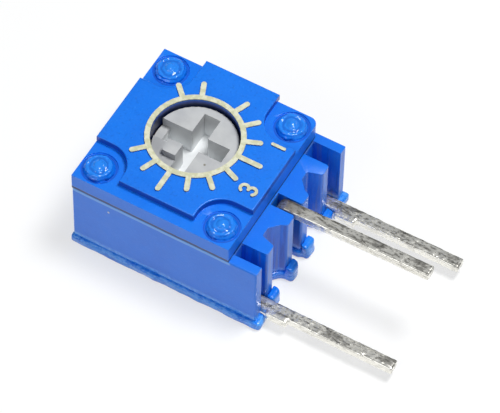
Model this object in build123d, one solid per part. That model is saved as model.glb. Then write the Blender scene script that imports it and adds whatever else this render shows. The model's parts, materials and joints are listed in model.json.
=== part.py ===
from build123d import *
import os
from math import cos, radians, sin

# Trimmer potentiometer with three staggered leads.
# Millimetres. +Z is up through the rotor, +X runs along the leads, and the origin is on the
# rotor's axis at the bottom face. The rotor is drawn at its end stop, pointer at 225 degrees.

# ---- heights, from the bottom up ----
seal_thickness = 0.40        # blue potting under the base
base_height = 2.96           # moulded base, from the potting to the seam
cover_thickness = 0.76       # cover at its corner pads
plateau_height = 0.30        # raised middle of the cover above the pads
relief_height = 0.07         # painted dial above the plateau
rotor_drop = 0.30            # rotor top below the plateau

# ---- cover ----
cover_length = 6.50          # along X
cover_width = 6.60           # along Y
cover_centre_x = 0.15        # the bore is a little off the middle of the cover
cover_centre_y = -0.22
index_corner_radius = 0.32   # the one well rounded corner
plateau_front_inset = 0.47
plateau_back_proud = 0.12
plateau_edge_radius = 0.05
bore_radius = 1.65
rivet_pitch = 5.08           # between the heat-staked posts
pad_radius = 1.00            # round recess about each post
post_radius = 0.32
post_clearance = 0.03
head_radius = 0.60
head_height = 0.21
head_seat_radius = 0.70
head_seat_depth = 0.05

# ---- dial ----
ring_width = 0.20
tick_width = 0.20
tick_reach = 2.46            # outer end of a short tick
long_tick_reach = 2.77
tick_step = 22.5             # degrees
dial_end = 135.0             # first and last tick, each side of +X
digit_x = 2.82               # middle of the terminal numbers
digit_gap = 0.22              # from the middle of a number to the corner recess
digit_stroke = 0.12
digit_bowl = 0.155           # centre-line radius of the two bowls of the 3
digit_one_length = 0.60

# ---- rotor ----
rotor_clearance = 0.05
turn = 270.0                 # degrees from stop to stop
head_edge_radius = 0.04
neck_radius = 1.40
flange_radius = 1.85
flange_thickness = 0.80
flange_gap = 0.06            # under the cover
boss_radius = 0.45
boss_height = 0.35
slot_width = 0.66
slot_reach = 1.26
slot_depth = 1.25
runout_depth = 0.42          # where two arms of the cross run out through the rim
step_depth = 0.30            # lowered quarter round the pointer post
pointer_size = 0.57
pointer_round = 0.12
stop_lug_reach = 0.15
stop_half_angle = 8.0
stop_play = 1.0              # degrees left at each end

# ---- seal ring ----
ring_section_radius = 0.15
ring_gap = 0.03
ring_groove_height = 0.34

# ---- base ----
wall = 0.40
wall_reach = 1.15            # side walls past the cover, along X
ledge_reach = 1.05           # fins of the ledge past the cover
fin_gap = 0.02                # between an outer lead and the fin beside it
side_fin_width = 0.47
middle_fin_width = 0.48
notch_depth = 0.57           # between the fins, from their ends
notch_root_start = 1.25      # flat root of the notch, from the middle lead
notch_root_end = 1.62
fin_shoulder = 0.25          # sloped flank of a middle fin
ledge_round = 0.10
lead_way = 0.04              # play at each side of a lead in its slot
slot_root = 0.05             # root of the middle groove, past the cover
chamber_clearance = 0.05     # stop lug of the rotor to the chamber wall
seat_strip = 0.50            # width of the step that the ceramic rests against
seat_relief = 0.05           # play above the printed films

# ---- ceramic element ----
ceramic_thickness = 0.50
ceramic_play = 0.02
potting_depth = 0.55         # inside the base, up to the ceramic
film_thickness = 0.03
track_inner = 1.35
track_outer = 1.80
track_gap = 40.0             # degrees each side of +X without resistive film
end_film_gap = 25.0          # degrees each side of +X without end film
collector_inner = 0.45
collector_outer = 0.85
film_strip = 0.30
film_strip_y = 0.90          # cross strip from a track end, from the rotor's axis
pad_length = 0.60
pad_width = 0.58

# ---- leads ----
lead_pitch = 2.54            # between neighbours, and the lift of the middle lead
lead_row_y = -0.27
lead_width = 0.50
lead_thickness = 0.36
lead_edge = 0.07
lead_reach = 5.33            # past the ends of the side walls
lead_bend = 0.24             # centre-line radius
riser_gap = 0.15             # root of the middle groove to the riser
edge_gap = 0.02              # along X about the inner riser
shoulder_width = 0.18
shoulder_length = 0.85
solder_length = 0.38
solder_spread = 0.04         # past the end of a lead's foot
solder_height = 0.30
solder_round = 0.10

# ---- contact spring ----
spring_thickness = 0.10
spring_outer = 1.20
spring_play = 0.03
spring_bend = 0.08
finger_width = 0.10
finger_gap = 0.04
finger_count = 3
contact_gap = 0.03           # finger tips to the films

# ---- feet of the potting ----
bead = 0.10                  # potting proud of the base all round
bead_round = 0.08
foot_reach = 0.22            # past the ends of the side walls
foot_height = 0.72
foot_round = 0.15

# ---- levels and places that follow ----
seal_z = seal_thickness
seam_z = seal_z + base_height
pad_z = seam_z + cover_thickness
plateau_z = pad_z + plateau_height
relief_z = plateau_z + relief_height
rotor_z = plateau_z - rotor_drop
cover_x0 = cover_centre_x - cover_length / 2
cover_x1 = cover_centre_x + cover_length / 2
cover_y0 = cover_centre_y - cover_width / 2
cover_y1 = cover_centre_y + cover_width / 2
post_places = [
    (cover_centre_x + i * rivet_pitch / 2, cover_centre_y + j * rivet_pitch / 2, i, j)
    for i in (-1, 1)
    for j in (-1, 1)
]
digit_y = cover_centre_y + rivet_pitch / 2 - pad_radius - digit_gap
ledge_half_width = lead_pitch - lead_width / 2 - fin_gap
wall_x1 = cover_x1 + wall_reach
ledge_x1 = cover_x1 + ledge_reach
foot_x1 = wall_x1 + foot_reach
root_x = cover_x1 + slot_root
lead_way_half = lead_width / 2 + lead_way
lead_y = {
    "lead_1": lead_row_y + lead_pitch,
    "lead_2": lead_row_y,
    "lead_3": lead_row_y - lead_pitch,
}
lead_z = seal_z + lead_thickness / 2
high_lead_z = lead_z + lead_pitch
lead_x1 = wall_x1 + lead_reach
ceramic_z = seal_z + potting_depth
film_z = ceramic_z + ceramic_thickness
film_top_z = film_z + film_thickness
ceiling_z = film_z + seat_relief
pocket_x0 = cover_x0 + wall
pocket_x1 = cover_x1 - wall
pocket_y0 = cover_y0 + wall
pocket_y1 = cover_y1 - wall
lead_foot_z = film_top_z + lead_thickness / 2
inner_riser_x = pocket_x1 - edge_gap - lead_bend
ceramic_x1 = inner_riser_x - lead_thickness / 2 - edge_gap
riser_x = root_x + riser_gap + lead_thickness / 2
pad_x1 = ceramic_x1 - edge_gap
pad_x0 = pad_x1 - pad_length
flange_z1 = seam_z - flange_gap
flange_z0 = flange_z1 - flange_thickness
groove_z1 = flange_z1 + ring_groove_height
ring_radius = neck_radius + ring_gap + ring_section_radius
counterbore_radius = ring_radius + ring_section_radius + rotor_clearance
counterbore_z1 = groove_z1 + ring_gap
head_bore_radius = bore_radius - rotor_clearance
lug_radius = flange_radius + stop_lug_reach
chamber_radius = lug_radius + chamber_clearance
pointer_angle = -dial_end
contact_angle = pointer_angle + 180


def block(x0, x1, y0, y1, z0, z1):
    """A box given by its two corners."""
    box = Box(x1 - x0, y1 - y0, z1 - z0)
    return Pos((x0 + x1) / 2, (y0 + y1) / 2, (z0 + z1) / 2) * box


def rod(radius, z0, z1, x=0.0, y=0.0):
    """An upright cylinder."""
    return Pos(x, y, (z0 + z1) / 2) * Cylinder(radius, z1 - z0)


def rectangle(x0, x1, y0, y1):
    """A flat rectangle given by its two corners."""
    return Pos((x0 + x1) / 2, (y0 + y1) / 2) * Rectangle(x1 - x0, y1 - y0)


def raised(plan, z0, z1):
    """A flat outline pulled up from one level to another."""
    return extrude(Pos(0, 0, z0) * plan, z1 - z0, dir=(0, 0, 1))


def sector(inner, outer, start, end):
    """A piece of a flat ring between two angles in degrees."""
    first, middle, last = (radians(a) for a in (start, (start + end) / 2, end))

    def at(radius, angle):
        return (radius * cos(angle), radius * sin(angle))

    edges = [
        ThreePointArc(at(outer, first), at(outer, middle), at(outer, last)),
        Line(at(outer, last), at(inner, last)),
        ThreePointArc(at(inner, last), at(inner, middle), at(inner, first)),
        Line(at(inner, first), at(outer, first)),
    ]
    return make_face(edges)


def strip(points, bend, width, thickness, edge):
    """A flat bar bent along (x, z) points of the plane y = 0."""
    path = FilletPolyline([(x, 0, z) for x, z in points], radius=bend)
    start = Plane(origin=path @ 0, x_dir=(0, 1, 0), z_dir=path % 0)
    return sweep(start * RectangleRounded(width, thickness, edge), path)


# ---- cover ----
def dial_relief():
    """Ring, ticks and the two terminal numbers, standing on the plateau."""
    plan = Circle(bore_radius + ring_width)
    for step in range(round(2 * dial_end / tick_step) + 1):
        angle = step * tick_step - dial_end
        if angle == 90.0:
            continue                      # this place is bare
        reach = long_tick_reach if angle in (0.0, -90.0) else tick_reach
        tick = Pos((reach + bore_radius) / 2, 0) * SlotOverall(reach - bore_radius, tick_width)
        plan += Rot(0, 0, angle) * tick
    plan += Pos(digit_x, digit_y) * SlotOverall(digit_one_length, digit_stroke)
    upper_bowl = CenterArc((digit_x - digit_bowl, -digit_y), digit_bowl, 0, 240)
    lower_bowl = CenterArc((digit_x + digit_bowl, -digit_y), digit_bowl, -60, 240)
    plan += SlotArc(upper_bowl, digit_stroke) + SlotArc(lower_bowl, digit_stroke)
    return raised(plan, plateau_z, relief_z)


def plateau():
    """The raised middle of the cover, with a round recess at each corner."""
    plan = rectangle(cover_x0, cover_x1, cover_y0 + plateau_front_inset, cover_y1 + plateau_back_proud)
    beyond = 2 * pad_radius
    for x, y, i, j in post_places:
        plan -= Pos(x, y) * Circle(pad_radius)
        plan -= Pos(x + i * beyond / 2, y) * Rectangle(beyond, 2 * pad_radius)
        plan -= Pos(x, y + j * beyond / 2) * Rectangle(2 * pad_radius, beyond)
    solid = raised(plan, pad_z, plateau_z)
    return fillet(solid.faces().sort_by(Axis.Z)[-1].edges(), plateau_edge_radius)


def make_cover():
    slab = block(cover_x0, cover_x1, cover_y0, cover_y1, seam_z, pad_z)
    corner = slab.edges().filter_by(Axis.Z).sort_by(lambda e: e.center().X + e.center().Y)[-1]
    slab = fillet(corner, index_corner_radius)
    cover = slab + plateau() + dial_relief()
    cover -= rod(bore_radius, seam_z, relief_z)
    cover -= rod(counterbore_radius, seam_z, counterbore_z1)
    for x, y, i, j in post_places:
        cover -= rod(post_radius + post_clearance, seam_z, pad_z, x, y)
        cover -= rod(head_seat_radius, pad_z - head_seat_depth, pad_z, x, y)
    return cover


# ---- base ----
def ledge_plan():
    """Block between the outer leads, with two notches and a groove for the middle lead."""
    notch_x = ledge_x1 - notch_depth
    fin_y = lead_way_half + middle_fin_width
    half = [
        (pocket_x1, ledge_half_width),
        (ledge_x1, ledge_half_width),
        (ledge_x1, ledge_half_width - side_fin_width),
        (notch_x, notch_root_end),
        (notch_x, notch_root_start),
        (ledge_x1 - fin_shoulder, fin_y + fin_shoulder / 2),
        (ledge_x1, fin_y),
        (ledge_x1, lead_way_half),
        (root_x, lead_way_half),
    ]
    points = [(x, lead_row_y + y) for x, y in half]
    points += [(x, lead_row_y - y) for x, y in reversed(half)]
    plan = make_face(Polyline(points, close=True))
    outer = [v for v in plan.vertices() if v.X > root_x + edge_gap]
    return fillet(outer, ledge_round)


def side_walls(reach):
    """Plans of the two walls that run on past the cover."""
    front = rectangle(cover_x1, reach, cover_y0, pocket_y0)
    back = rectangle(cover_x1, reach, pocket_y1, cover_y1)
    return front, back


def staked_post(x, y):
    """A post with the head that its hot end was pressed into."""
    seat_z = pad_z - head_seat_depth
    rise = head_height
    dome_radius = (head_radius ** 2 + rise ** 2) / (2 * rise)
    dome = Pos(x, y, seat_z + rise - dome_radius) * Sphere(dome_radius)
    dome &= block(x - head_radius, x + head_radius, y - head_radius, y + head_radius,
                  seat_z, seat_z + rise)
    return rod(post_radius, seam_z, seat_z, x, y) + dome


def make_base():
    base = block(cover_x0, cover_x1, cover_y0, cover_y1, seal_z, seam_z)
    for plan in (*side_walls(wall_x1), ledge_plan()):
        base += raised(plan, seal_z, seam_z)
    base -= rod(chamber_radius, ceiling_z, seam_z)
    base -= block(pocket_x0, pocket_x1, pocket_y0, pocket_y1, seal_z, film_z)
    base -= block(pocket_x0 + seat_strip, pocket_x1, pocket_y0, pocket_y1, film_z, ceiling_z)
    solder_half = pad_width / 2 + lead_way
    for y in lead_y.values():
        base -= block(pad_x0 - solder_spread - lead_way, pocket_x1, y - solder_half, y + solder_half,
                      ceiling_z, lead_foot_z + lead_thickness / 2 + lead_way)
        base -= block(pocket_x1, root_x, y - lead_way_half, y + lead_way_half,
                      seal_z, lead_z + lead_thickness / 2 + lead_way)
    stop_half = (360 - turn) / 2 - stop_half_angle - stop_play
    stop = sector(flange_radius + rotor_clearance, chamber_radius + wall / 2,
                  180 - stop_half, 180 + stop_half)
    base += raised(stop, ceiling_z, seam_z)
    for x, y, i, j in post_places:
        base += staked_post(x, y)
    return base


def make_bottom_seal():
    """Potting: a slab with a bead round its edge, feet at +X, and a plug up to the ceramic."""
    plan = rectangle(cover_x0, cover_x1, cover_y0, cover_y1) + ledge_plan()
    for side in side_walls(foot_x1 - bead):
        plan += side
    slab = raised(offset(plan, bead), 0, seal_z)
    rims = [slab.faces().sort_by(Axis.Z)[i].edges() for i in (0, -1)]
    slab = fillet(rims[0] + rims[1], bead_round)
    foot_bands = (
        (lead_way_half, lead_way_half + middle_fin_width + bead),
        (ledge_half_width - side_fin_width - bead, ledge_half_width),
    )
    for near, far in foot_bands:
        for side in (-1, 1):
            y0, y1 = sorted((lead_row_y + side * near, lead_row_y + side * far))
            foot = block(ledge_x1, foot_x1, y0, y1, 0, foot_height)
            rounds = foot.faces().sort_by(Axis.X)[-1].edges().filter_by(Axis.Z)
            rounds += [foot.faces().sort_by(Axis.Z)[-1].edges().sort_by(Axis.X)[-1]]
            slab += fillet(rounds, foot_round)
    plug = block(pocket_x0, pocket_x1, pocket_y0, pocket_y1, seal_z, ceramic_z)
    for y in lead_y.values():
        plug -= block(ceramic_x1, pocket_x1, y - lead_way_half, y + lead_way_half, seal_z, ceramic_z)
    return slab + plug


# ---- rotor, its seal ring and contact spring ----
def make_rotor():
    head = rod(head_bore_radius, groove_z1, rotor_z)
    head = fillet(head.edges().sort_by(Axis.Z)[-1], head_edge_radius)
    rotor = head + rod(neck_radius, flange_z1, groove_z1)
    rotor += rod(flange_radius, flange_z0, flange_z1)
    rotor += rod(boss_radius, flange_z0 - boss_height, flange_z0)
    lug = sector(neck_radius, lug_radius, pointer_angle - stop_half_angle, pointer_angle + stop_half_angle)
    rotor += raised(lug, flange_z0, flange_z1)
    half = slot_width / 2
    rim = bore_radius
    rotor -= block(-slot_reach, slot_reach, -half, half, rotor_z - slot_depth, rotor_z)
    rotor -= block(-half, half, -slot_reach, slot_reach, rotor_z - slot_depth, rotor_z)
    rotor -= block(-rim, 0, -half, half, rotor_z - runout_depth, rotor_z)
    rotor -= block(-half, half, -rim, 0, rotor_z - runout_depth, rotor_z)
    step = block(-rim, -half, -rim, -half, rotor_z - step_depth, rotor_z)
    inner = half + pointer_size
    post = block(-inner, -half, -inner, -half, rotor_z - step_depth, rotor_z)
    far_edge = post.edges().filter_by(Axis.Z).sort_by(lambda e: e.center().X + e.center().Y)[0]
    return rotor - (step - fillet(far_edge, pointer_round))


def make_rotor_seal():
    ring_z = (flange_z1 + groove_z1) / 2
    return Pos(0, 0, ring_z) * Torus(ring_radius, ring_section_radius)


def contact_finger(tip_radius):
    """One spring finger: out of the hub, down its slope and flat along a film."""
    half = spring_thickness / 2
    hub_z = flange_z0 - half
    tip_z = film_top_z + contact_gap + half
    hub_edge = spring_outer + spring_thickness
    toe = finger_width if tip_radius > hub_edge else -finger_width
    points = [(spring_outer - finger_width, hub_z), (hub_edge, hub_z)]
    points += [(tip_radius, tip_z), (tip_radius + toe, tip_z)]
    return strip(points, spring_bend, finger_width, spring_thickness, spring_thickness / 5)


def make_contact_spring():
    """Stamped spring that bridges the resistive track and the collector ring."""
    hub = raised(Circle(spring_outer) - Circle(boss_radius + spring_play),
                 flange_z0 - spring_thickness, flange_z0)
    middle = {0: (track_inner + track_outer) / 2, 180: (collector_inner + collector_outer) / 2}
    spring = hub
    for turned, tip_radius in middle.items():
        for i in range(finger_count):
            shift = (i - (finger_count - 1) / 2) * (finger_width + finger_gap)
            finger = Pos(0, shift, 0) * contact_finger(tip_radius)
            spring += Rot(0, 0, turned) * finger
    return Rot(0, 0, contact_angle) * spring


# ---- ceramic element ----
def make_ceramic():
    return block(pocket_x0 + ceramic_play, ceramic_x1, pocket_y0 + ceramic_play,
                 pocket_y1 - ceramic_play, ceramic_z, film_z)


def film(plan):
    return raised(plan, film_z, film_top_z)


def make_resistive_track():
    return film(sector(track_inner, track_outer, track_gap, 360 - track_gap))


def pad_plan(y):
    return rectangle(pad_x0, pad_x1, y - pad_width / 2, y + pad_width / 2)


def end_film(y, side):
    """Conductive film from one end of the track out to the pad of an outer lead."""
    start, end = sorted((side * end_film_gap, side * track_gap))
    plan = sector(track_inner, track_outer, start, end) + pad_plan(y)
    near, far = sorted((side * (film_strip_y - film_strip / 2), side * (film_strip_y + film_strip / 2)))
    plan += rectangle(track_inner, pad_x0 + film_strip, near, far)
    low, high = sorted((side * (film_strip_y - film_strip / 2), y))
    return film(plan + rectangle(pad_x0, pad_x0 + film_strip, low, high))


def make_collector_track():
    plan = Circle(collector_outer) - Circle(collector_inner)
    y = lead_y["lead_2"]
    neck_start = (collector_inner + collector_outer) / 2
    plan += rectangle(neck_start, pad_x0 + film_strip, y - film_strip / 2, y + film_strip / 2)
    return film(plan + pad_plan(y))


# ---- leads and solder ----
def lead_points(name):
    points = [(pad_x0, lead_foot_z), (inner_riser_x, lead_foot_z), (inner_riser_x, lead_z)]
    if name == "lead_2":
        points += [(riser_x, lead_z), (riser_x, high_lead_z), (lead_x1, high_lead_z)]
    else:
        points += [(lead_x1, lead_z)]
    return points


def make_lead(name):
    y = lead_y[name]
    lead = Pos(0, y, 0) * strip(lead_points(name), lead_bend, lead_width, lead_thickness, lead_edge)
    if name != "lead_2":
        half = lead_thickness / 2
        side_y = y - lead_width / 2
        shoulder_x0 = foot_x1 + edge_gap
        shoulder = block(shoulder_x0, shoulder_x0 + shoulder_length, side_y - shoulder_width, y,
                         lead_z - half, lead_z + half)
        lead += fillet(shoulder.edges().filter_by(Axis.X), lead_edge)
    return lead


def make_solder(y, lead):
    half = pad_width / 2
    blob = block(pad_x0 - solder_spread, pad_x0 + solder_length, y - half, y + half,
                 film_top_z, film_top_z + solder_height)
    blob = fillet(blob.faces().sort_by(Axis.Z)[-1].edges(), solder_round)
    return blob - lead


def make_nodes():
    nodes = {
        "cover": make_cover(),
        "base": make_base(),
        "bottom_seal": make_bottom_seal(),
        "rotor": make_rotor(),
        "rotor_seal": make_rotor_seal(),
        "contact_spring": make_contact_spring(),
        "ceramic_element": make_ceramic(),
        "resistive_track": make_resistive_track(),
        "collector_track": make_collector_track(),
        "end_film_1": end_film(lead_y["lead_1"], 1),
        "end_film_3": end_film(lead_y["lead_3"], -1),
    }
    for name, y in lead_y.items():
        nodes[name] = make_lead(name)
        nodes[name.replace("lead", "solder")] = make_solder(y, nodes[name])
    return nodes


os.makedirs("parts", exist_ok=True)
for node, solid in make_nodes().items():
    export_step(solid, f"parts/{node}.step")
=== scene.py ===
import json
from math import cos, radians, sin

import bpy
from mathutils import Matrix, Vector


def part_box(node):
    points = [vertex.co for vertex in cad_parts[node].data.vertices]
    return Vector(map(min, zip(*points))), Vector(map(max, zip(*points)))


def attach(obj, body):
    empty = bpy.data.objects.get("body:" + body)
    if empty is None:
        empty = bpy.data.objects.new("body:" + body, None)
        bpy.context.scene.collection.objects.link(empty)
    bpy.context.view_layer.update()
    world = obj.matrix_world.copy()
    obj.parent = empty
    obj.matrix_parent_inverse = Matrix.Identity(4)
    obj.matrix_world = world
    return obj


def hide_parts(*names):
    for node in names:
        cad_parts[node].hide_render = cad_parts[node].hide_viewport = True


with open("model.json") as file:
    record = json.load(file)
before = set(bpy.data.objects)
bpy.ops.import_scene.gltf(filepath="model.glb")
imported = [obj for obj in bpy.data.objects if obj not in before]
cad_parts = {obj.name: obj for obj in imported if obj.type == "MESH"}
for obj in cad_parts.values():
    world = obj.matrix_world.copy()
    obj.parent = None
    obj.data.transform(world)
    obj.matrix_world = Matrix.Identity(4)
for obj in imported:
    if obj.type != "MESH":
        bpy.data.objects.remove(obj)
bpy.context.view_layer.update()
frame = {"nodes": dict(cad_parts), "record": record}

MM = 0.001

# Levels and sides of the housing, from the frame
cover_low, cover_high = (Vector(corner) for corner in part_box("cover"))
base_low, base_high = (Vector(corner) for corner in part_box("base"))
relief_height = 0.07 * MM
recess_depth = 0.30 * MM
relief_z = cover_high.z
plateau_z = relief_z - relief_height
pad_z = plateau_z - recess_depth
seam_z = cover_low.z
rotor_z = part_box("rotor")[1][2]

# The lid's bore round the rotor, and its side above the leads
bore_radius = 1.65 * MM
lid_x = cover_high.x

# Rivet pattern of the housing
rivet_middle = (0.15 * MM, -0.22 * MM)
rivet_half_pitch = 2.54 * MM
rivet_radius = 0.60 * MM

# Row of the leads
lead_row_y = -0.27 * MM
lead_pitch = 2.54 * MM

# What the lamps point at
object_middle = Vector((0.5 * MM, 0, 2 * MM))

# Points closer than this become one, in millimetres
merge_distance = 0.0005

# Colours that show, linear
BLUE = (0.002, 0.190, 0.86, 1)
DEEP_BLUE = (0.001, 0.150, 0.76, 1)
PALE_BLUE = (0.03, 0.29, 0.95, 1)
# The next five colours are painted shade, deeper painted shade, painted reflection, epoxy cyan that also
# carries painted highlights, and painted highlight
SHADE_BLUE = (0.001, 0.065, 0.46, 1)
SHADOW_NAVY = (0.001, 0.010, 0.060, 1)
SHEEN_HAZE = (0.11, 0.22, 0.60, 1)
EPOXY_GLINT_CYAN = (0.09, 0.38, 1.0, 1)
HIGHLIGHT_BLUE = (0.20, 0.46, 0.95, 1)
CREAM = (0.60, 0.60, 0.40, 1)
PALE_CREAM = (0.74, 0.74, 0.56, 1)
GREY = (0.56, 0.57, 0.57, 1)
SHADE_GREY = (0.47, 0.48, 0.49, 1)
# Painted light for the floor of the rotor's slot
LIT_FLOOR_GREY = (0.86, 0.88, 0.89, 1)
SPECK = (0.16, 0.14, 0.09, 1)
TIN = (0.90, 0.88, 0.81, 1)
DULL_TIN = (0.045, 0.042, 0.036, 1)
# Painted shadow of the lid on the raised lead
SHADOW_BROWN = (0.14, 0.10, 0.07, 1)

# Colours of the hidden pieces, linear
RUBBER = (0.030, 0.020, 0.020, 1)
WORN_RUBBER = (0.045, 0.032, 0.030, 1)
ALLOY = (0.72, 0.55, 0.30, 1)
DULL_ALLOY = (0.60, 0.45, 0.24, 1)
ALUMINA = (0.82, 0.81, 0.77, 1)
DULL_ALUMINA = (0.74, 0.73, 0.70, 1)
FILM = (0.02, 0.02, 0.02, 1)
PALE_FILM = (0.04, 0.04, 0.04, 1)
SILVER = (0.70, 0.68, 0.62, 1)
DULL_SILVER = (0.58, 0.56, 0.50, 1)
SOLDER = (0.62, 0.62, 0.62, 1)
DULL_SOLDER = (0.48, 0.48, 0.48, 1)

# Colours of the studio, linear
SKY = (0.9, 0.95, 1, 1)
TABLE_WHITE = (0.82, 0.82, 0.81, 1)
WHITE = (1, 1, 1, 1)

# Sockets of a Mix node that mixes colours
FIRST_COLOUR, SECOND_COLOUR, MIXED_COLOUR = 6, 7, 2


class Value:
    """An output of a material's node. Arithmetic on it adds Math nodes."""

    def __init__(self, paint, socket):
        self.paint = paint
        self.socket = socket

    def __add__(self, other):
        return self.paint.math("ADD", self, other)

    def __sub__(self, other):
        return self.paint.math("SUBTRACT", self, other)

    def __rsub__(self, other):
        return self.paint.math("SUBTRACT", other, self)

    def __mul__(self, other):
        return self.paint.math("MULTIPLY", self, other)

    def __abs__(self):
        return self.paint.math("ABSOLUTE", self)


class Paint:
    """A material round one Principled shader. Its lengths are in metres."""

    def __init__(self, name):
        self.material = bpy.data.materials.new(name)
        self.material.use_nodes = True
        self.tree = self.material.node_tree
        self.shader = self.tree.nodes["Principled BSDF"]
        self.place = self.node("ShaderNodeTexCoord", {}, {}, "Object")

    def node(self, kind, settings, sockets, output=0):
        made = self.tree.nodes.new(kind)
        for key, value in settings.items():
            setattr(made, key, value)
        for key, value in sockets.items():
            self.feed(made.inputs[key], value)
        return Value(self, made.outputs[output])

    def feed(self, target, value):
        if isinstance(value, Value):
            self.tree.links.new(value.socket, target)
        else:
            target.default_value = value

    def set(self, **sockets):
        """Feeds the shader's sockets, base_color for Base Color and so on."""
        for key, value in sockets.items():
            self.feed(self.shader.inputs[key.replace("_", " ").title()], value)

    def math(self, operation, *values):
        return self.node("ShaderNodeMath", {"operation": operation}, dict(enumerate(values)))

    def vector(self, operation, first, second, output=0):
        return self.node("ShaderNodeVectorMath", {"operation": operation}, {0: first, 1: second}, output)

    def along(self, axis):
        return self.node("ShaderNodeSeparateXYZ", {}, {0: self.place}, axis)

    def noise(self, size, detail=3.0, stretch=(1, 1, 1)):
        """Noise from zero to one, in blotches of about that size."""
        where = self.vector("MULTIPLY", self.place, stretch)
        return self.node("ShaderNodeTexNoise", {}, {"Vector": where, "Scale": 1 / size, "Detail": detail})

    def wander(self, size, span):
        """A drift of half the span to either side, in blotches of about that size."""
        return (self.noise(size) - 0.5) * span

    def rise(self, value, low, high):
        """Zero below low, one above high, smooth between."""
        settings = {"interpolation_type": "SMOOTHSTEP"}
        return self.node("ShaderNodeMapRange", settings, {0: value, 1: low, 2: high})

    def fall(self, value, low, high):
        """One below low, zero above high, smooth between."""
        return 1 - self.rise(value, low, high)

    def band(self, value, low, high, soft):
        """One between low and high, zero outside."""
        return self.rise(value, low - soft, low + soft) * self.fall(value, high - soft, high + soft)

    def mix(self, factor, first, second):
        """The first colour where the factor is zero, the second where it is one."""
        sockets = {0: factor, FIRST_COLOUR: first, SECOND_COLOUR: second}
        return self.node("ShaderNodeMix", {"data_type": "RGBA"}, sockets, MIXED_COLOUR)

    def distance(self, point, stretch=(1, 1, 1)):
        away = self.vector("SUBTRACT", self.place, point)
        return self.vector("LENGTH", self.vector("MULTIPLY", away, stretch), (0, 0, 0), "Value")

    def from_axis(self):
        """Distance from the rotor's axis."""
        return self.distance((0, 0, 0), (1, 1, 0))

    def from_rivet(self):
        """Distance from the nearest of the four rivets, by folding the plan twice."""
        x = abs(self.along("X") - rivet_middle[0]) - rivet_half_pitch
        y = abs(self.along("Y") - rivet_middle[1]) - rivet_half_pitch
        return self.math("SQRT", x * x + y * y)

    def wrapped(self, value, half):
        """Value folded into the range from -half to half."""
        return self.math("WRAP", value, half, -half)

    def bump(self, height):
        sockets = {"Height": height, "Distance": 1.0, "Strength": 1.0}
        self.feed(self.shader.inputs["Normal"], self.node("ShaderNodeBump", {}, sockets))


# ---- materials ----
def moulded(paint):
    """Satin blue plastic: cloudy colour and faint orange peel."""
    cloud = paint.noise(1.1 * MM, 2.0)
    grain = paint.noise(0.07 * MM)
    colour = paint.mix(paint.rise(cloud, 0.35, 0.75) * 0.4, BLUE, DEEP_BLUE)
    colour = paint.mix(paint.rise(grain, 0.55, 0.80) * 0.45, colour, PALE_BLUE)
    colour = paint.mix(paint.rise(1 - grain, 0.55, 0.80) * 0.45, colour, DEEP_BLUE)
    roughness = paint.noise(0.35 * MM) * 0.10 + 0.30
    height = grain * (0.003 * MM) + paint.noise(0.4 * MM) * (0.008 * MM)
    return colour, roughness, height


def glint_blotches(paint):
    """Flat blotches where the epoxy is painted with highlights."""
    return paint.rise(paint.noise(0.10 * MM, 4.0, (0.6, 0.6, 1)), 0.44, 0.56)


def cover_blue():
    """The lid: painted shade on its step faces, rivet grooves, bore, lower edge and dial sides, and cream
    paint on the raised dial.
    """
    paint = Paint("cover plastic")
    colour, roughness, height = moulded(paint)
    drift = paint.wander(0.12 * MM, 0.02 * MM)
    level = paint.along("Z") + drift

    # Painted shade on the step faces between the pads and the plateau
    step_shade = paint.band(level, pad_z + 0.030 * MM, plateau_z - 0.030 * MM, 0.020 * MM)
    colour = paint.mix(step_shade, colour, SHADE_BLUE)
    # Painted shade in the groove round each rivet head
    rivet_groove_shade = paint.band(paint.from_rivet() + drift, rivet_radius, rivet_radius + 0.07 * MM, 0.03 * MM)
    colour = paint.mix(rivet_groove_shade * 0.7, colour, SHADE_BLUE)

    # Painted shade inside the bore round the rotor
    inside = paint.fall(paint.from_axis(), bore_radius + 0.002 * MM, bore_radius + 0.015 * MM)
    shaded = paint.fall(level, plateau_z - 0.25 * MM, plateau_z + 0.02 * MM)
    colour = paint.mix(inside * shaded, colour, SHADOW_NAVY)

    # Painted shade along the lid's lower edge above the seam; the same band also bumps a groove
    seam_level = paint.along("Z") + paint.wander(0.5 * MM, 0.07 * MM)
    seam_groove_shade = paint.fall(seam_level, seam_z + 0.10 * MM, seam_z + 0.13 * MM)
    colour = paint.mix(seam_groove_shade * 0.85, colour, SHADOW_NAVY)

    # Painted shade on the sides of the raised dial
    relief_side_shade = paint.band(level, plateau_z + 0.008 * MM, relief_z - 0.030 * MM, 0.008 * MM)
    colour = paint.mix(relief_side_shade, colour, SHADOW_NAVY)
    cream = paint.mix(paint.rise(paint.noise(0.20 * MM), 0.40, 0.62), CREAM, PALE_CREAM)
    worn = paint.rise(paint.noise(0.09 * MM, 4.0), 0.66, 0.74)
    painted = paint.rise(level, relief_z - 0.034 * MM, relief_z - 0.018 * MM)
    colour = paint.mix(painted * (1 - worn * 0.35), colour, cream)

    paint.set(base_color=colour, roughness=roughness + painted * 0.20)
    paint.bump(height - seam_groove_shade * (0.02 * MM))
    return paint.material


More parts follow.
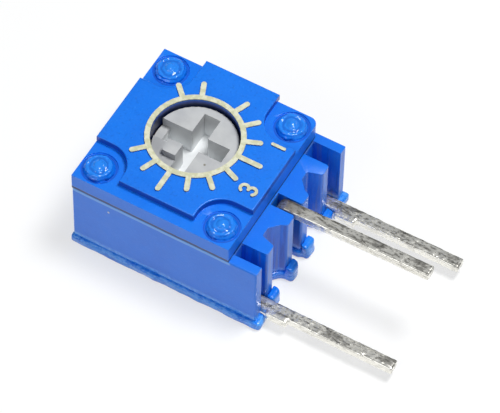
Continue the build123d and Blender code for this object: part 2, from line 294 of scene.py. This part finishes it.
def base_blue():
    """The base: painted reflection streaks on the fins, a painted highlight along its top edges, a smear
    of epoxy at the foot with painted highlights, and painted light and shade on the melted rivet heads.
    """
    paint = Paint("base plastic")
    colour, roughness, height = moulded(paint)
    level = paint.along("Z")
    drift = paint.wander(0.5 * MM, 0.05 * MM)

    # Painted highlight along the base's top edges below the seam
    lip_highlight = paint.band(level + drift, seam_z - 0.15 * MM, seam_z - 0.030 * MM, 0.02 * MM)
    lip_highlight = lip_highlight * paint.fall(paint.along("X"), lid_x + 0.02 * MM, lid_x + 0.10 * MM)
    colour = paint.mix(lip_highlight * 0.9, colour, HIGHLIGHT_BLUE)

    # Painted reflection streaks, pale and dark, on the fins, over a streaky bump
    fins = paint.rise(paint.along("X"), lid_x + 0.05 * MM, lid_x + 0.15 * MM)
    fins = fins * paint.fall(level, seam_z - 0.06 * MM, seam_z - 0.03 * MM)
    fins = fins * paint.band(paint.along("Y"), base_low.y + 0.05 * MM, base_high.y - 0.05 * MM, 0.02 * MM)
    streak = paint.noise(0.20 * MM, stretch=(1, 1, 0.06))
    colour = paint.mix(fins * paint.rise(streak, 0.52, 0.66) * 0.6, colour, SHEEN_HAZE)
    colour = paint.mix(fins * paint.fall(streak, 0.36, 0.46) * 0.5, colour, SHADE_BLUE)

    # Epoxy smear at the foot, painted pale cyan with blotches of painted highlight
    smear = paint.fall(level + drift * 2.0, 0.60 * MM, 0.66 * MM)
    colour = paint.mix(smear * (glint_blotches(paint) * 0.60 + 0.40), colour, EPOXY_GLINT_CYAN)
    fleck = paint.distance((-1.57 * MM, base_low.y, 2.87 * MM))
    colour = paint.mix(paint.fall(fleck, 0.030 * MM, 0.055 * MM), colour, PALE_CREAM)

    # Painted light on the middle of each head, painted shade in its inner dip and in the groove round its
    # edge
    heads = paint.rise(level, pad_z - 0.08 * MM, pad_z - 0.04 * MM)
    radius = paint.from_rivet() + paint.wander(0.34 * MM, 0.24 * MM)
    inner_dip_shade = paint.band(radius, 0.28 * MM, 0.38 * MM, 0.04 * MM)
    outer_groove_shade = paint.rise(radius, rivet_radius - 0.05 * MM, rivet_radius + 0.04 * MM)
    colour = paint.mix(heads * paint.fall(radius, 0.40 * MM, rivet_radius) * 0.6, colour, PALE_BLUE)
    colour = paint.mix(heads * outer_groove_shade, colour, SHADE_BLUE)
    colour = paint.mix(heads * inner_dip_shade * 0.5, colour, SHADE_BLUE)

    paint.set(base_color=colour, roughness=roughness - heads * 0.16 - smear * 0.16)
    paint.bump(height + fins * streak * (0.010 * MM))
    return paint.material


def potting_blue():
    """Cured epoxy: glossier and wavier than the moulding, with blotches of painted highlight on its shelf
    and painted shade along its bottom.
    """
    paint = Paint("potting epoxy")
    level = paint.along("Z")
    colour = paint.mix(paint.rise(paint.noise(0.5 * MM), 0.35, 0.70), PALE_BLUE, BLUE)
    # Painted highlights in blotches on the shelf of the bead
    shelf = paint.band(level, 0.20 * MM, 0.50 * MM, 0.04 * MM)
    colour = paint.mix(glint_blotches(paint) * shelf, colour, EPOXY_GLINT_CYAN)
    # Painted shade along the bottom of the bead
    bottom_shade = paint.fall(level, 0.06 * MM, 0.14 * MM)
    colour = paint.mix(bottom_shade * 0.4, colour, SHADE_BLUE)
    paint.set(base_color=colour, roughness=paint.noise(0.3 * MM) * 0.18 + 0.12)
    paint.bump(paint.noise(0.16 * MM) * (0.006 * MM))
    return paint.material


def rotor_grey():
    """Light grey plastic, with painted light on the floor of its slot, and one dark speck."""
    paint = Paint("rotor plastic")
    colour = paint.mix(paint.rise(paint.noise(0.7 * MM), 0.35, 0.70), GREY, SHADE_GREY)
    # Painted light on the floor of the slot
    lit_floor = paint.fall(paint.along("Z"), rotor_z - 1.20 * MM, rotor_z - 0.30 * MM)
    colour = paint.mix(lit_floor, colour, LIT_FLOOR_GREY)
    spot = paint.distance((0.80 * MM, -0.72 * MM, rotor_z)) + paint.noise(0.03 * MM) * (0.03 * MM)
    colour = paint.mix(paint.fall(spot, 0.040 * MM, 0.075 * MM) * 0.8, colour, SPECK)
    paint.set(base_color=colour, roughness=paint.noise(0.2 * MM) * 0.12 + 0.38)
    paint.bump(paint.noise(0.10 * MM) * (0.003 * MM))
    return paint.material


def tinned():
    """Hot-dipped tin: bright runs between dull, pitted patches drawn out along the lead, less dull on the
    front side as a painted reflection of the table, and painted with the lid's shadow at the root of the
    raised lead.
    """
    paint = Paint("tinned lead")
    patches = paint.noise(0.17 * MM, 5.0, (0.25, 1, 1))
    pits = paint.noise(0.07 * MM, 4.0, (0.5, 1, 1))
    # The front side of each lead is painted less dull, a painted reflection of the table
    across = paint.wrapped(paint.along("Y") - lead_row_y, lead_pitch / 2)
    sheen_free = paint.rise(across, -0.25 * MM, -0.17 * MM)
    dull = paint.rise(patches, 0.50, 0.60) * (sheen_free * 0.75 + 0.25)
    pitted = paint.rise(pits, 0.52, 0.62) * (sheen_free * 0.70 + 0.30)
    colour = paint.mix(dull * 0.70, TIN, DULL_TIN)
    colour = paint.mix(pitted * 0.72, colour, DULL_TIN)
    # Painted shadow of the lid on the root of the raised lead
    near_fins = paint.fall(paint.along("X"), lid_x + 0.5 * MM, lid_x + 1.6 * MM)
    lid_shadow = near_fins * paint.rise(paint.along("Z"), 1.5 * MM, 2.5 * MM)
    colour = paint.mix(lid_shadow * 0.6, colour, SHADOW_BROWN)
    paint.set(base_color=colour, metallic=0.7, roughness=dull * 0.12 + pitted * 0.10 + 0.22)
    paint.bump(pits * (0.003 * MM) + patches * (0.006 * MM))
    return paint.material


def plain(name, first, second, size, roughness, metallic=0.0, depth=0.003 * MM):
    """A finish of two close colours for a piece that is mostly hidden."""
    paint = Paint(name)
    cloud = paint.noise(size)
    colour = paint.mix(paint.rise(cloud, 0.4, 0.65), first, second)
    paint.set(base_color=colour, roughness=cloud * 0.1 + roughness, metallic=metallic)
    paint.bump(paint.noise(size / 4) * depth)
    return paint.material


def hidden_finishes():
    """The finish of each piece that stays as the frame gives it."""
    silver = plain("silver film", SILVER, DULL_SILVER, 0.12 * MM, 0.40, metallic=1.0)
    solder = plain("solder", SOLDER, DULL_SOLDER, 0.10 * MM, 0.22, metallic=1.0, depth=0.006 * MM)
    return {
        "rotor_seal": plain("seal rubber", RUBBER, WORN_RUBBER, 0.30 * MM, 0.50),
        "contact_spring": plain("spring alloy", ALLOY, DULL_ALLOY, 0.20 * MM, 0.25, metallic=1.0),
        "ceramic_element": plain("alumina", ALUMINA, DULL_ALUMINA, 0.25 * MM, 0.55),
        "resistive_track": plain("resistive film", FILM, PALE_FILM, 0.10 * MM, 0.35),
        "collector_track": silver,
        "end_film_1": silver,
        "end_film_3": silver,
        "solder_1": solder,
        "solder_2": solder,
        "solder_3": solder,
    }


def dress(piece, material):
    piece.data.materials.clear()
    piece.data.materials.append(material)


# ---- shaping helpers, which work in millimetres until a piece is settled ----
def frame_body(node):
    bodies = frame["record"]["behaviour"]["bodies"]
    return next(body for body, nodes in bodies.items() if node in nodes)


def only(piece):
    bpy.ops.object.select_all(action="DESELECT")
    piece.select_set(True)
    bpy.context.view_layer.objects.active = piece


def rescale(piece, factor):
    only(piece)
    piece.scale = (factor, factor, factor)
    bpy.ops.object.transform_apply(location=False, rotation=False, scale=True)


def modifier(piece, kind, **settings):
    """Applies a modifier at once."""
    only(piece)
    made = piece.modifiers.new(kind.lower(), kind)
    for key, value in settings.items():
        setattr(made, key, value)
    bpy.ops.object.modifier_apply(modifier=made.name)


def remeshed(piece, voxel, smoothing):
    """One closed skin, made of cubes of that size and smoothed that often."""
    modifier(piece, "REMESH", mode="VOXEL", voxel_size=voxel)
    modifier(piece, "SMOOTH", factor=0.6, iterations=smoothing)


def copy_of(node, name):
    """The node's shape as a new piece, with its points merged and its flat faces whole."""
    piece = frame["nodes"][node].copy()
    piece.data = piece.data.copy()
    piece.name = name
    bpy.context.scene.collection.objects.link(piece)
    piece.parent = None
    rescale(piece, 1 / MM)
    only(piece)
    bpy.ops.object.mode_set(mode="EDIT")
    bpy.ops.mesh.select_all(action="SELECT")
    bpy.ops.mesh.remove_doubles(threshold=merge_distance)
    bpy.ops.mesh.dissolve_limited(angle_limit=radians(0.5))
    bpy.ops.object.mode_set(mode="OBJECT")
    return piece


def settle(piece, body, material, angle=60):
    """Back to metres, smooth below that angle, dressed, and riding on its body."""
    rescale(piece, MM)
    only(piece)
    bpy.ops.object.shade_smooth_by_angle(angle=radians(angle))
    dress(piece, material)
    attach(piece, body)


def stand_in(node):
    """Hides the node, so that the settled piece shows in its place."""
    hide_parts(node)


def ripple(name, size, depth):
    texture = bpy.data.textures.new(name, "CLOUDS")
    texture.noise_scale = size
    texture.noise_depth = depth
    return texture


def dent(piece, texture, strength, direction="NORMAL"):
    modifier(piece, "DISPLACE", texture=texture, texture_coords="LOCAL", direction=direction,
             strength=strength, mid_level=0.5)


# ---- pieces ----
def round_outline(piece, sides_x, sides_y, top, width):
    """Rounds the outer edges below a level, on the given sides of the housing's outline."""
    near = 0.002
    picked = [
        vertex.index for vertex in piece.data.vertices
        if vertex.co.z < top / MM + near
        and (any(abs(vertex.co.x - x / MM) < near for x in sides_x)
             or any(abs(vertex.co.y - y / MM) < near for y in sides_y))
    ]
    outline = piece.vertex_groups.new(name="outline")
    outline.add(picked, 1.0, "REPLACE")
    modifier(piece, "BEVEL", width=width, segments=3, limit_method="VGROUP", vertex_group="outline",
             use_clamp_overlap=False)


def soften(node, name, width, material, outline=None):
    """A moulding with its sharp edges slightly rounded."""
    piece = copy_of(node, name)
    if outline:
        round_outline(piece, **outline)
    modifier(piece, "BEVEL", width=width, segments=2, limit_method="ANGLE", angle_limit=radians(35),
             use_clamp_overlap=True, miter_outer="MITER_ARC")
    modifier(piece, "WELD", merge_threshold=merge_distance)
    settle(piece, frame_body(node), material, 25)
    modifier(piece, "WEIGHTED_NORMAL", keep_sharp=True, weight=100)
    stand_in(node)


def tin_lead(node, material, lumps, bow=0.0):
    """A lead with rounded edges and the uneven coat of a hot dip, bowed up by some degrees."""
    piece = copy_of(node, node + "_tinned")
    remeshed(piece, 0.035, 7)
    dent(piece, lumps, 0.028)
    if bow:
        modifier(piece, "SIMPLE_DEFORM", deform_method="BEND", deform_axis="Y", angle=radians(-bow),
                 limits=(0.35, 1))
    settle(piece, frame_body(node), material)
    stand_in(node)


def poured(node, material, lumps):
    """The potting with the slumped, uneven edge of a poured bead and a flat underside."""
    piece = copy_of(node, node + "_poured")
    remeshed(piece, 0.045, 5)
    for direction in "XY":
        dent(piece, lumps, 0.08, direction)
    settle(piece, frame_body(node), material)
    stand_in(node)


def pill(x, y, z, radius, flatness, segments):
    """A flattened ball."""
    bpy.ops.mesh.primitive_uv_sphere_add(segments=segments, ring_count=segments // 2, radius=radius,
                                         location=(x, y, z))
    bpy.context.object.scale.z = flatness
    return bpy.context.object


def raised_rim(x, y, z):
    bpy.ops.mesh.primitive_torus_add(major_radius=0.44, minor_radius=0.07, major_segments=64,
                                     minor_segments=16, location=(x, y, z))
    return bpy.context.object


def melted_head(name, x, y, material, dents):
    """A post's staked head: a low cushion with a raised rim and a blob left by the hot punch."""
    top = pad_z / MM
    parts = [
        pill(x, y, top - 0.02, 0.58, 0.40, 48),
        raised_rim(x, y, top + 0.115),
        pill(x, y, top + 0.20, 0.21, 0.36, 32),
    ]
    bpy.ops.object.select_all(action="DESELECT")
    for part in parts:
        part.select_set(True)
    bpy.context.view_layer.objects.active = parts[0]
    bpy.ops.object.join()
    piece = bpy.context.object
    piece.name = name
    bpy.ops.object.transform_apply(location=True, rotation=True, scale=True)
    remeshed(piece, 0.022, 4)
    dent(piece, dents, 0.10)
    settle(piece, "housing", material)


def staked_heads(material):
    dents = ripple("head dents", 0.30, 1)
    corners = ((-1, -1), (-1, 1), (1, -1), (1, 1))
    for number, (side, end) in enumerate(corners, 1):
        x = (rivet_middle[0] + side * rivet_half_pitch) / MM
        y = (rivet_middle[1] + end * rivet_half_pitch) / MM
        melted_head(f"staked_head_{number}", x, y, material, dents)


# ---- studio ----
def facing(azimuth, elevation):
    """Unit vector from the object towards a place round it; azimuth 0 is in front, at -Y."""
    a, e = radians(azimuth), radians(elevation)
    return Vector((sin(a) * cos(e), -cos(a) * cos(e), sin(e)))


def softbox(name, azimuth, elevation, reach, width, height, power):
    """A rectangular lamp that points at the object's middle."""
    lamp = bpy.data.lights.new(name, "AREA")
    lamp.shape = "RECTANGLE"
    lamp.size = width
    lamp.size_y = height
    lamp.energy = power
    holder = bpy.data.objects.new(name, lamp)
    bpy.context.scene.collection.objects.link(holder)
    back = facing(azimuth, elevation)
    holder.location = object_middle + back * reach
    holder.rotation_mode = "QUATERNION"
    holder.rotation_quaternion = (-back).to_track_quat("-Z", "Y")


def lights():
    """A pale world, a softbox overhead and a broad fill in front."""
    world = bpy.data.worlds.new("studio")
    bpy.context.scene.world = world
    world.use_nodes = True
    background = world.node_tree.nodes["Background"]
    background.inputs["Color"].default_value = SKY
    background.inputs["Strength"].default_value = 0.20
    softbox("key softbox", azimuth=125, elevation=72, reach=90 * MM, width=30 * MM, height=24 * MM,
            power=0.062)
    softbox("front fill", azimuth=-15, elevation=40, reach=120 * MM, width=80 * MM, height=60 * MM,
            power=0.036)


def camera():
    """A long lens from the front right, well above the lid."""
    azimuth, elevation, roll = 28.44, 55.02, radians(1.54)
    reach = 142.9 * MM
    lens_mm = 278.47666
    back = facing(azimuth, elevation)
    right = Vector((cos(radians(azimuth)), sin(radians(azimuth)), 0))
    up = back.cross(right)
    aim = Vector((0, -0.222 * MM, 0)) + right * (2.139 * MM) + up * (0.238 * MM)
    cam = bpy.data.cameras.new("camera")
    cam.sensor_width = 36
    cam.lens = lens_mm
    cam.clip_start = 10 * MM
    holder = bpy.data.objects.new("camera", cam)
    bpy.context.scene.collection.objects.link(holder)
    side = right * cos(roll) + up * sin(roll)
    top = up * cos(roll) - right * sin(roll)
    turn = Matrix((side, top, back)).transposed().to_4x4()
    holder.matrix_world = Matrix.Translation(aim + back * reach) @ turn
    bpy.context.scene.camera = holder


def floor():
    """A white table that stays white to the camera and keeps a faint shadow."""
    bpy.ops.mesh.primitive_plane_add(size=4, location=(0, 0, 0))
    table = bpy.context.object
    table.name = "table"
    paint = Paint("white table")
    paint.set(base_color=TABLE_WHITE, roughness=0.6)
    matt = Value(paint, paint.shader.outputs["BSDF"])
    glow = paint.node("ShaderNodeEmission", {}, {"Color": WHITE, "Strength": 1.20})
    to_camera = paint.node("ShaderNodeLightPath", {}, {}, "Is Camera Ray")
    to_gloss = paint.node("ShaderNodeLightPath", {}, {}, "Is Glossy Ray")
    share = to_camera * 0.52 + to_gloss * 0.90
    mixed = paint.node("ShaderNodeMixShader", {}, {0: share, 1: matt, 2: glow})
    paint.feed(paint.tree.nodes["Material Output"].inputs["Surface"], mixed)
    dress(table, paint.material)


def main():
    camera()
    lights()
    floor()
    blue = base_blue()
    outline = {
        "sides_x": (base_low.x,),
        "sides_y": (base_low.y, base_high.y),
        "top": seam_z,
        "width": 0.07,
    }
    soften("cover", "cover_moulding", 0.045, cover_blue())
    soften("base", "base_moulding", 0.040, blue, outline)
    staked_heads(blue)
    soften("rotor", "rotor_moulding", 0.020, rotor_grey())
    tin = tinned()
    lumps = ripple("tin lumps", 0.22, 2)
    tin_lead("lead_1", tin, lumps)
    tin_lead("lead_2", tin, lumps, bow=0.7)
    tin_lead("lead_3", tin, lumps)
    poured("bottom_seal", potting_blue(), ripple("epoxy waves", 0.55, 1))
    for node, material in hidden_finishes().items():
        dress(frame["nodes"][node], material)


main()
bpy.context.scene.view_settings.view_transform = "Standard"
